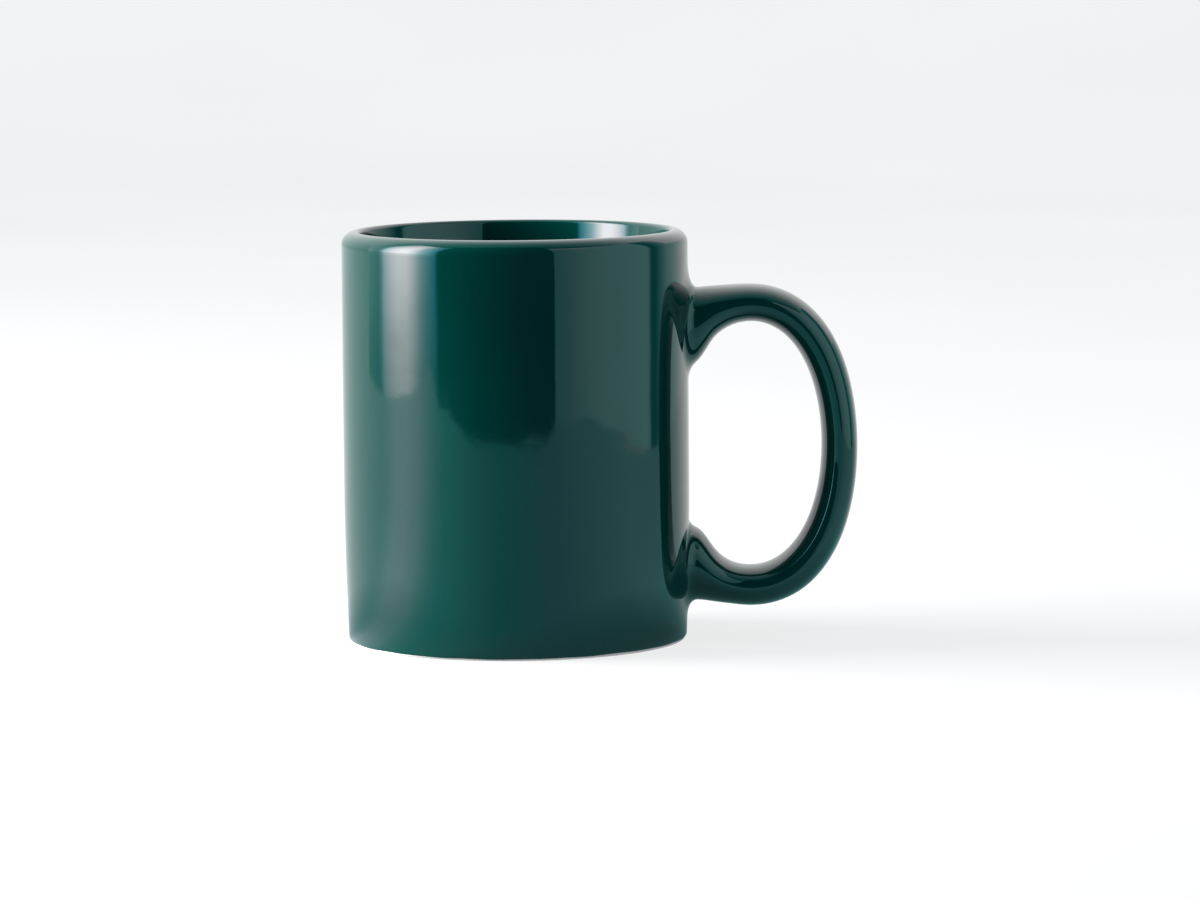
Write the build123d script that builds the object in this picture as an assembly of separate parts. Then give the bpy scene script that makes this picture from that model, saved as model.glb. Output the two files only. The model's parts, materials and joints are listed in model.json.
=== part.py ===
from build123d import *
import os
from math import asin, cos, degrees, pi, sin

# A glazed mug in millimetres. Its axis is Z, it stands on z = 0, and the handle points along +X.
# Every glazed surface is drawn once, and the clay under it is the same shape moved in by GLAZE.

# cup
CUP_RADIUS = 40.0
CUP_HEIGHT = 95.0
FOOT_RADIUS = 39.2
TAPER_TOP = 36.0  # below this height the wall draws in to FOOT_RADIUS on one long arc
WALL = 4.8
LIP_OUTER_ROUND = 3.2
LIP_INNER_ROUND = WALL - LIP_OUTER_ROUND
FLOOR_HEIGHT = 6.5
FLOOR_CORNER = 8.0

# foot
GLAZE_LINE = 0.8  # the outside is bare clay below this height, where the foot is rounded off
RECESS_DEPTH = 2.0
RECESS_RADIUS = 33.0  # at the table; a cove of RECESS_DEPTH leads up to the recess ceiling

# glaze and slip
GLAZE = 0.4
SLIP = 0.5  # layer between the wall and each end of the handle
BEAD_ROUND = 3.4  # round of the glazed corner where the handle meets the wall

# handle loop: a half super-ellipse about (LOOP_X, LOOP_Z), thicker towards its lower end
LOOP_X = 54.4
LOOP_Z = 44.8
LOOP_REACH = 20.5
LOOP_RISE = 32.9
LOOP_POWER = 2.15
LOOP_STEPS = 10
SIDE_THICKNESS = 8.4
TOP_THICKNESS = 8.7
BOTTOM_THICKNESS = 9.4
HANDLE_WIDTH = 16.0

# arms, from inside the wall out to the loop: x, upper edge z, lower edge z and width
UPPER_ARM = [
    (37.0, 81.2, 60.6, 18.0),
    (41.0, 81.3, 63.2, 17.4),
    (44.2, 81.5, 67.0, 16.9),
    (47.4, 81.8, 71.0, 16.4),
    (51.0, 82.0, 72.9, 16.0),
]
LOWER_ARM = [
    (37.0, 28.6, 9.4, 18.0),
    (41.0, 26.4, 8.8, 17.4),
    (44.2, 23.0, 8.3, 16.9),
    (47.4, 18.9, 7.9, 16.4),
    (51.0, 17.1, 7.5, 16.0),
]

# patch of glaze that belongs to the handle, round each of its two ends
PATCH_WIDTH = 30.0
PATCH_HEIGHT = 32.0
PATCH_ROUND = 9.0
PATCH_START_X = 30.0
UPPER_PATCH_Z = 72.5
LOWER_PATCH_Z = 19.0


def outer_side(inset):
    """Edges of the cup's outside from the glaze line to the crest of the lip, moved in by inset."""
    fall = TAPER_TOP - GLAZE_LINE
    draw_in = CUP_RADIUS - FOOT_RADIUS
    arc_radius = (fall**2 + draw_in**2) / (2 * draw_in)
    sweep = degrees(asin(fall / (arc_radius - inset)))
    lip_z = CUP_HEIGHT - LIP_OUTER_ROUND
    side_x = CUP_RADIUS - inset
    lower = CenterArc((CUP_RADIUS - arc_radius, TAPER_TOP), arc_radius - inset, -sweep, sweep)
    upper = Line((side_x, TAPER_TOP), (side_x, lip_z))
    lip = CenterArc((CUP_RADIUS - LIP_OUTER_ROUND, lip_z), LIP_OUTER_ROUND - inset, 0, 90)
    return [lower, upper, lip]


def inner_side(inset):
    """Edges of the cup's inside from the crest of the lip to the axis, moved in by inset."""
    bore = CUP_RADIUS - WALL
    lip_z = CUP_HEIGHT - LIP_INNER_ROUND
    corner_z = FLOOR_HEIGHT + FLOOR_CORNER
    corner_x = bore - FLOOR_CORNER
    lip = CenterArc((bore + LIP_INNER_ROUND, lip_z), LIP_INNER_ROUND - inset, 90, 90)
    wall = Line((bore + inset, lip_z), (bore + inset, corner_z))
    corner = CenterArc((corner_x, corner_z), FLOOR_CORNER + inset, 0, -90)
    floor = Line((corner_x, FLOOR_HEIGHT - inset), (0, FLOOR_HEIGHT - inset))
    return [lip, wall, corner, floor]


def turned(edges):
    """Solid of revolution of a closed outline, with its seam on the side away from the handle."""
    return revolve(Plane.XZ * make_face(edges), Axis.Z).rotate(Axis.Z, 180)


def plug(inset):
    """The cup's outside as a full solid, moved in by inset."""
    side = outer_side(inset)
    start = side[0] @ 0
    end = side[-1] @ 1
    cap = Polyline(end, (0, end.Y), (0, start.Y), start)
    return turned(side + [cap])


def make_clay_body():
    """Wall, floor and foot ring: one turned piece of clay."""
    outside = outer_side(GLAZE)
    inside = inner_side(GLAZE)
    line_point = outside[0] @ 0
    foot_x = line_point.X - GLAZE_LINE
    cove_x = RECESS_RADIUS - RECESS_DEPTH
    ceiling_z = RECESS_DEPTH + GLAZE
    cove = CenterArc((cove_x, 0), RECESS_DEPTH, 90, -90)
    foot_corner = CenterArc((foot_x, GLAZE_LINE), GLAZE_LINE, -90, 90)
    floor_point = inside[-1] @ 1
    axis_side = Polyline(floor_point, (0, ceiling_z), (cove_x, ceiling_z), (cove_x, RECESS_DEPTH))
    contact = Line((RECESS_RADIUS, 0), (foot_x, 0))
    return turned(outside + inside + [axis_side, cove, contact, foot_corner])


def make_inner_glaze():
    """Liner glaze from the crest of the lip down the wall and over the floor."""
    bare = inner_side(GLAZE)
    face = inner_side(0)
    crest = Line(bare[0] @ 0, face[0] @ 0)
    axis = Line(bare[-1] @ 1, face[-1] @ 1)
    return turned(bare + face + [crest, axis])


def make_glaze_sleeve():
    """Glaze of the cup's outside, from the glaze line to the crest of the lip, with no handle."""
    bare = outer_side(GLAZE)
    face = outer_side(0)
    foot_edge = Line(bare[0] @ 0, face[0] @ 0)
    crest = Line(bare[-1] @ 1, face[-1] @ 1)
    return turned(bare + face + [foot_edge, crest])


def make_base_glaze():
    """Disc of glaze on the ceiling of the recess."""
    on_base = (Align.CENTER, Align.CENTER, Align.MIN)
    disc = Cylinder(RECESS_RADIUS - RECESS_DEPTH, GLAZE, align=on_base)
    return Pos(0, 0, RECESS_DEPTH) * disc


def handle_section(centre, along, thickness, width):
    """Oval across the handle at centre, facing along."""
    plane = Plane(origin=centre, x_dir=(0, 1, 0), z_dir=along)
    return plane * Ellipse(width / 2, thickness / 2)


def loop_point(angle):
    """Point on the middle line of the loop, from pi/2 at its upper end to -pi/2 at its lower end."""
    reach = LOOP_REACH * max(cos(angle), 0.0) ** (2 / LOOP_POWER)
    rise = LOOP_RISE * abs(sin(angle)) ** (2 / LOOP_POWER)
    side = 1 if angle > 0 else -1
    return Vector(LOOP_X + reach, 0, LOOP_Z + side * rise)


def loop_section(angle, inset):
    """Section of the loop at an angle, square to its middle line."""
    step = 0.001
    before = loop_point(min(angle + step, pi / 2))
    after = loop_point(max(angle - step, -pi / 2))
    end_thickness = TOP_THICKNESS if angle > 0 else BOTTOM_THICKNESS
    thickness = SIDE_THICKNESS + (end_thickness - SIDE_THICKNESS) * sin(angle) ** 2 - 2 * inset
    return handle_section(loop_point(angle), after - before, thickness, HANDLE_WIDTH - 2 * inset)


def arm_section(row, along, inset):
    """Upright section of an arm, from one row of its list."""
    x, top, bottom, width = row
    centre = (x, 0, (top + bottom) / 2)
    return handle_section(centre, along, top - bottom - 2 * inset, width - 2 * inset)


def handle_form(inset):
    """The handle's full shape, running into the wall at both ends, moved in by inset."""
    upper = [arm_section(row, (1, 0, 0), inset) for row in UPPER_ARM]
    angles = [pi / 2 - pi * step / LOOP_STEPS for step in range(LOOP_STEPS + 1)]
    loop = [loop_section(angle, inset) for angle in angles]
    lower = [arm_section(row, (-1, 0, 0), inset) for row in reversed(LOWER_ARM)]
    return loft(upper + loop + lower)


def joined_form(inset):
    """Cup and handle as one full shape with rounded corners between them, moved in by inset."""
    whole = handle_form(inset) + plug(inset)
    corners = [edge for edge in whole.edges() if is_handle_corner(edge)]
    return whole.fillet(BEAD_ROUND + inset, corners)


def is_handle_corner(edge):
    """True for an edge that runs along the wall round one end of the handle."""
    middle = edge.center()
    beside_wall = CUP_RADIUS - 1.5 < middle.X < CUP_RADIUS and abs(middle.Y) < HANDLE_WIDTH
    return beside_wall and edge.geom_type == GeomType.BSPLINE


def handle_zone():
    """Space that holds all the glaze of the handle: a rounded patch at each end, and the loop."""
    from_wall = (Align.MIN, Align.CENTER, Align.MIN)
    zone = Pos(CUP_RADIUS + BEAD_ROUND, 0, 0) * Box(CUP_RADIUS, CUP_RADIUS, CUP_HEIGHT, align=from_wall)
    for z in (UPPER_PATCH_Z, LOWER_PATCH_Z):
        plane = Plane(origin=(PATCH_START_X, 0, z), x_dir=(0, 1, 0), z_dir=(1, 0, 0))
        zone += extrude(plane * RectangleRounded(PATCH_WIDTH, PATCH_HEIGHT, PATCH_ROUND), CUP_RADIUS)
    return zone


def make_clay_handle():
    """Handle clay, cut to the curve of the wall and kept SLIP away from it."""
    return handle_form(GLAZE) - plug(GLAZE - SLIP)


def make_slip_joints(clay_form, clay_handle):
    """Slip between the wall and the handle's ends, with its wiped beads: upper, then lower."""
    slip = clay_form - plug(GLAZE) - clay_handle
    return slip.solids().sort_by(Axis.Z, reverse=True)


def make_outside_glazes(clay_form, zone):
    """Glaze of the cup's outside and glaze of the handle, which meet at the edge of its patches."""
    sleeve = make_glaze_sleeve()
    outer_glaze = sleeve - zone
    handle_glaze = (joined_form(0) - clay_form) & zone
    return outer_glaze, handle_glaze


def make_parts():
    """Every piece of the mug, by name."""
    clay_form = joined_form(GLAZE)
    clay_handle = make_clay_handle()
    upper_slip, lower_slip = make_slip_joints(clay_form, clay_handle)
    outer_glaze, handle_glaze = make_outside_glazes(clay_form, handle_zone())
    return {
        "clay_body": make_clay_body(),
        "clay_handle": clay_handle,
        "upper_slip_joint": upper_slip,
        "lower_slip_joint": lower_slip,
        "outer_glaze": outer_glaze,
        "inner_glaze": make_inner_glaze(),
        "handle_glaze": handle_glaze,
        "base_glaze": make_base_glaze(),
    }


os.makedirs("parts", exist_ok=True)
for name, part in make_parts().items():
    export_step(part, f"parts/{name}.step")
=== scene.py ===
import json
import logging
import math
from dataclasses import dataclass, field
from enum import Enum
from functools import cached_property

import bpy
import numpy as np
from mathutils import Matrix, Vector


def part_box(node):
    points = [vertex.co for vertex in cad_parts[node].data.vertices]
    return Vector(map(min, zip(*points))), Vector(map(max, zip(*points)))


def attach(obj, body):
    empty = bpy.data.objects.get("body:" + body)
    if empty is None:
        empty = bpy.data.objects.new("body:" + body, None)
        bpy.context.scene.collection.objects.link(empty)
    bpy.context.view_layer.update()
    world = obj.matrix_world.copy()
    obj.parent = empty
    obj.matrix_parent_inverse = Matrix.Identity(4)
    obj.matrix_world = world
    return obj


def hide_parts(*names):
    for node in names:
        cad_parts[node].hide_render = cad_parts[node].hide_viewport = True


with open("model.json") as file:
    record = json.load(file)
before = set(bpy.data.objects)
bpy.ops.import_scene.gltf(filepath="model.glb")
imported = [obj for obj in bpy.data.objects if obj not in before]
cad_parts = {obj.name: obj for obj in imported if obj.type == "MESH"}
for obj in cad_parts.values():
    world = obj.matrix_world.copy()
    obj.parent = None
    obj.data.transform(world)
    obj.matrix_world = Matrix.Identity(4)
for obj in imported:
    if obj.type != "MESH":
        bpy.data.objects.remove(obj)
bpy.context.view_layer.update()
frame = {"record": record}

# A glazed mug with one handle: turned clay, a handle stuck on with slip, and four fired glaze coats.
# Shapes are worked out in millimetres and become metres when their meshes are made.
# The mug's axis is Z, it stands on z = 0, and the handle points along +X.

MM = 0.001
BODY = "root"
SHARP_ANGLE = 38.0  # degrees between faces, above which an edge shows as sharp

Array = np.ndarray
Socket = bpy.types.NodeSocket
Face = tuple[int, ...]
Colour = tuple[float, float, float]
Knots = list[tuple[float, float]]
Line = tuple[tuple[float, float], ...]
log = logging.getLogger("mug")


class Root(Enum):
    """The two ends of the handle, where it meets the wall."""

    UPPER = "upper"
    LOWER = "lower"


# ---------------------------------------------------------------- curves


def smooth_curve(knots: Knots, at: Array) -> Array:
    """Smooth curve through a few knots, level at its last one.

    Args:
        knots: Pairs of position and value, in order of position.
        at: Positions at which the curve is wanted.

    Returns:
        The curve's value at each position.
    """
    where, value = np.array(knots, float).T
    slope = np.gradient(value, where)
    slope[-1] = 0
    span = np.clip(np.searchsorted(where, at) - 1, 0, len(where) - 2)
    width = where[span + 1] - where[span]
    t = np.clip((at - where[span]) / width, 0, 1)
    start = (1 + 2 * t) * (1 - t) ** 2 * value[span] + t * (1 - t) ** 2 * width * slope[span]
    end = t**2 * (3 - 2 * t) * value[span + 1] - t**2 * (1 - t) * width * slope[span + 1]
    return start + end


def relax(points: Array, passes: int) -> Array:
    """Even out a line of points without moving its ends.

    Args:
        points: Points of the line, one per row.
        passes: How many times each point is drawn towards its neighbours.

    Returns:
        The evened points.
    """
    for _ in range(passes):
        middle = (points[:-2] + 2 * points[1:-1] + points[2:]) / 4
        points = np.vstack([points[:1], middle, points[-1:]])
    return points


def ease(value: Array) -> Array:
    """Smooth step from 0 to 1 as value goes from 0 to 1."""
    t = np.clip(value, 0, 1)
    return t * t * (3 - 2 * t)


def arc(centre: tuple[float, float], radius: float, start: float, end: float, steps: int) -> Array:
    """Points of an arc, with its angles in degrees."""
    angle = np.radians(np.linspace(start, end, steps))
    return np.stack([centre[0] + radius * np.cos(angle), centre[1] + radius * np.sin(angle)], axis=1)


# ---------------------------------------------------------------- meshes


@dataclass(frozen=True)
class Ripple:
    """The faint unevenness that a melted glaze keeps when it sets. Sizes are in millimetres."""

    depth: float = 0.035
    longest: float = 40.0
    shortest: float = 10.0
    waves: int = 14
    seed: int = 11

    def at(self, points: Array) -> Array:
        """How far the glaze lies under its full height.

        Args:
            points: Places on the glaze.

        Returns:
            The depth at each place, from 0 to the ripple's full depth.
        """
        random = np.random.default_rng(self.seed)
        total = np.zeros(len(points))
        for length in np.geomspace(self.longest, self.shortest, self.waves):
            way = random.normal(size=3)
            way *= 2 * math.pi / length / np.linalg.norm(way)
            phase = random.uniform(0, 2 * math.pi)
            total += np.sin(points @ way + phase) * length / self.longest
        spread = 0.55 * math.sqrt(self.waves)
        return self.depth * (0.5 + 0.5 * np.tanh(total / spread))


def point_normals(points: Array, faces: list[Face]) -> Array:
    """Unit normal at each point of a mesh.

    Args:
        points: The mesh's points.
        faces: Its triangles and quads.

    Returns:
        One normal per point, weighted by the areas of the faces round it.
    """
    corners = np.array([face if len(face) == 4 else face + face[-1:] for face in faces])
    across = points[corners[:, 2]] - points[corners[:, 0]]
    along = points[corners[:, 3]] - points[corners[:, 1]]
    area = np.cross(across, along)
    total = np.zeros_like(points)
    for corner in range(4):
        np.add.at(total, corners[:, corner], area)
    length = np.linalg.norm(total, axis=1, keepdims=True)
    return total / np.where(length > 0, length, 1)


def grid_faces(rows: int, columns: int) -> list[Face]:
    """Faces of rows of points that close round the mug's axis.

    Args:
        rows: How many rows there are.
        columns: How many points each row has.

    Returns:
        One quad per step of each row but the last.
    """
    faces = []
    for row in range(rows - 1):
        here, above = row * columns, (row + 1) * columns
        for column in range(columns):
            after = (column + 1) % columns
            faces.append((here + column, here + after, above + after, above + column))
    return faces


def fan_faces(ring: list[int], middle: int) -> list[Face]:
    """Triangles from each step of a ring of points to one point in its middle."""
    return [(a, b, middle) for a, b in zip(ring, ring[1:] + ring[:1])]


def make_object(name: str, points: Array, faces: list[Face]) -> bpy.types.Object:
    """Make a smooth mesh object from the points that its faces use.

    Args:
        name: Name of the piece.
        points: Points in millimetres.
        faces: Faces, wound anticlockwise seen from outside.

    Returns:
        The new object, linked to the scene, with its sharp edges marked.
    """
    used = np.unique(np.concatenate([np.array(face) for face in faces]))
    place = np.full(len(points), -1)
    place[used] = np.arange(len(used))
    mesh = bpy.data.meshes.new(name)
    mesh.from_pydata(points[used] * MM, [], [place[list(face)].tolist() for face in faces])
    mesh.shade_smooth()
    mesh.set_sharp_from_angle(angle=math.radians(SHARP_ANGLE))
    piece = bpy.data.objects.new(name, mesh)
    bpy.context.scene.collection.objects.link(piece)
    return piece


@dataclass
class Sheet:
    """A glaze surface with a place behind each of its points, which becomes closed shells."""

    points: Array
    backs: Array
    normals: Array

    def shell(self, name: str, faces: list[Face]) -> bpy.types.Object:
        """Make a closed shell from some of the faces.

        Args:
            name: Name of the piece.
            faces: The faces of the sheet that belong to it.

        Returns:
            The surface, its back, and walls along its edges, shaded so that neighbours show no seam.
        """
        count = len(self.points)
        steps = {(a, b) for face in faces for a, b in zip(face, face[1:] + face[:1])}
        rims = sorted(step for step in steps if step[::-1] not in steps)
        backs = [tuple(corner + count for corner in face[::-1]) for face in faces]
        walls = [(b, a, a + count, b + count) for a, b in rims]
        both = np.vstack([self.points, self.backs])
        piece = make_object(name, both, faces + backs + walls)
        normals = [self.normals[list(face)] for face in faces]
        normals += [-self.normals[[corner - count for corner in face]] for face in backs]
        for wall in walls:
            corners = both[list(wall)]
            across = np.cross(corners[2] - corners[0], corners[3] - corners[1])
            normals.append(np.tile(across / max(np.linalg.norm(across), 1e-9), (4, 1)))
        piece.data.normals_split_custom_set(np.vstack(normals).tolist())
        return piece


def make_turned(name: str, outline: Array, columns: int) -> bpy.types.Object:
    """Make a closed piece turned on the mug's axis.

    Args:
        name: Name of the piece.
        outline: Radius and height of its edge, from the axis below, round the outside, to the axis above.
        columns: How many steps make one turn.

    Returns:
        The closed solid of revolution.
    """
    angles = np.arange(columns) * 2 * math.pi / columns
    radius, height = outline[1:-1, 0, None], outline[1:-1, 1, None]
    grid = np.stack([radius * np.cos(angles), radius * np.sin(angles), height + 0 * angles], axis=-1)
    points = np.vstack([grid.reshape(-1, 3), [[0, 0, outline[0, 1]], [0, 0, outline[-1, 1]]]])
    below, above = len(points) - 2, len(points) - 1
    first = list(range(columns))
    last = list(range(below - columns, below))
    faces = grid_faces(len(outline) - 2, columns) + fan_faces(first[::-1], below) + fan_faces(last, above)
    return make_object(name, points, faces)


def make_tube(name: str, rings: list[Array], ends: tuple[Array, Array]) -> bpy.types.Object:
    """Make a closed piece from a row of rings.

    Args:
        name: Name of the piece.
        rings: Rings of equally many points.
        ends: The middle of the cap on the first ring, and of the cap on the last.

    Returns:
        The closed tube.
    """
    around = len(rings[0])
    points = np.vstack(rings + [ends[0], ends[1]])
    first, last = len(points) - 2, len(points) - 1
    faces = []
    for row in range(len(rings) - 1):
        faces += band_faces(list(range(row * around, (row + 1) * around)), (row + 1) * around)
    start = list(range(around))
    end = list(range((len(rings) - 1) * around, len(rings) * around))
    return make_object(name, points, faces + fan_faces(start[::-1], first) + fan_faces(end, last))


def band_faces(ring: list[int], following: int | list[int]) -> list[Face]:
    """Faces between a ring of points and the one after it.

    Args:
        ring: Numbers of the first ring's points.
        following: Numbers of the next ring's points, or the number of its first.

    Returns:
        One face per step round the ring.
    """
    after = following if isinstance(following, list) else list(range(following, following + len(ring)))
    count = len(ring)
    return [(ring[i], after[i], after[(i + 1) % count], ring[(i + 1) % count]) for i in range(count)]


# ---------------------------------------------------------------- shape of the cup


@dataclass(frozen=True)
class CupShape:
    """Sizes of the cup in millimetres, and the outlines that are turned from them."""

    radius: float
    height: float
    glaze: float
    glaze_line: float
    bore: float
    bore_top: float
    bore_bottom: float
    floor: float
    recess: float
    recess_depth: float
    draw_in: float = 0.8
    taper_top: float = 36.0
    foot_edge: float = 0.35
    bare_height: float = 0.35
    flare_tilt: float = 9.0
    flare_height: float = 7.5
    columns: int = 240

    @classmethod
    def from_frame(cls) -> "CupShape":
        """Read the cup's sizes from the frame's nodes and from the mouth mount.

        Returns:
            The cup's shape.
        """
        outer_low, outer_high = (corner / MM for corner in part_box("outer_glaze"))
        liner_low, _ = (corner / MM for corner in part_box("inner_glaze"))
        _, clay_high = (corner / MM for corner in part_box("clay_body"))
        base_low, base_high = (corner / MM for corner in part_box("base_glaze"))
        mouth = next(mount for mount in frame["record"]["mounts"] if mount["name"] == "mouth")
        middle, length = mouth["pos_m"][2] / MM, mouth["dims"]["length_mm"]
        glaze = outer_high.z - clay_high.z
        return cls(
            radius=-outer_low.x,
            height=outer_high.z,
            glaze=glaze,
            glaze_line=outer_low.z,
            bore=mouth["dims"]["r_mm"],
            bore_top=middle + length / 2,
            bore_bottom=middle - length / 2,
            floor=liner_low.z + glaze,
            recess=base_high.x,
            recess_depth=base_low.z,
        )

    @property
    def crest(self) -> float:
        """Distance from the axis to the top of the lip."""
        return self.bore + self.height - self.bore_top

    @property
    def outer_round(self) -> float:
        """Radius of the lip's outer edge."""
        return self.radius - self.crest

    @property
    def flare_radius(self) -> float:
        """Radius of the long arc on which the inside opens towards the lip."""
        return self.flare_height / math.sin(math.radians(self.flare_tilt))

    @property
    def inner_round(self) -> float:
        """Radius of the lip's inner edge, which ends where the flare starts."""
        lean = math.cos(math.radians(self.flare_tilt))
        return (self.crest - self.bore - self.flare_radius * (1 - lean)) / lean

    @property
    def lip_start(self) -> float:
        """Height at which the outside starts to turn in over the lip."""
        return self.height - self.outer_round

    def wall_radius(self, height: Array) -> Array:
        """Radius of the glazed wall at each height below the lip."""
        fall = np.clip((self.taper_top - height) / (self.taper_top - self.glaze_line), 0, None)
        return self.radius - self.draw_in * fall**2

    def outer_lip(self, inset: float, steps: int) -> Array:
        """Outline of the lip's outer edge, from the wall up to the crest, moved in by inset."""
        return arc((self.crest, self.lip_start), self.outer_round - inset, 0, 90, steps)

    def inside(self, inset: float) -> Array:
        """Outline of the cup's inside.

        Args:
            inset: How far the outline lies inside the glazed surface.

        Returns:
            Radius and height of each point, from the crest of the lip down the wall to the axis.
        """
        corner = self.bore_bottom - self.floor
        corner_x = self.bore - corner
        lip_z = self.height - self.inner_round
        flare_z = lip_z + self.inner_round * math.sin(math.radians(self.flare_tilt)) - self.flare_height
        flare_x = self.bore + self.flare_radius
        turn_end = 180 - self.flare_tilt
        lip = arc((self.crest, lip_z), self.inner_round - inset, 90, turn_end, 10)
        flare = arc((flare_x, flare_z), self.flare_radius - inset, turn_end, 180, 9)[1:]
        wall_z = np.linspace(flare_z, self.bore_bottom, 56)[1:-1]
        wall = np.stack([np.full_like(wall_z, self.bore + inset), wall_z], axis=1)
        turn = arc((corner_x, self.bore_bottom), corner + inset, 0, -90, 14)
        floor_x = np.linspace(corner_x, 0, 22)[1:]
        floor = np.stack([floor_x, np.full_like(floor_x, self.floor - inset)], axis=1)
        return np.vstack([lip, flare, wall, turn, floor])


# ---------------------------------------------------------------- shape of the handle


@dataclass(frozen=True)
class Patch:
    """The part of the wall round one end of the handle whose glaze belongs to the handle.

    Sizes are counted in columns and rows of the cup's outside.
    """

    bottom_row: int
    rows: int = 28
    columns: int = 30

    def edge_steps(self) -> list[tuple[int, int]]:
        """Where the points of the patch's edge are.

        Returns:
            Column and row of each point, clockwise from the middle of the top.
        """
        half, low, high = self.columns // 2, self.bottom_row, self.bottom_row + self.rows
        top = [(column, high) for column in range(half)]
        right = [(half, high - row) for row in range(self.rows)]
        bottom = [(half - column, low) for column in range(self.columns)]
        left = [(-half, low + row) for row in range(self.rows)]
        rest = [(column - half, high) for column in range(half)]
        return top + right + bottom + left + rest

    def angles(self) -> Array:
        """Angles from the patch's middle to the points of its edge.

        Returns:
            The angle to each point in radians, clockwise from straight up.
        """
        across, up = np.array(self.edge_steps(), float).T
        middle = self.bottom_row + self.rows / 2
        return np.arctan2(across / (self.columns / 2), (up - middle) / (self.rows / 2))


@dataclass(frozen=True)
class Flare:
    """How far the slip is wiped out along the wall round one end of the handle, in millimetres."""

    outer: float
    inner: float
    side: float


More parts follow.
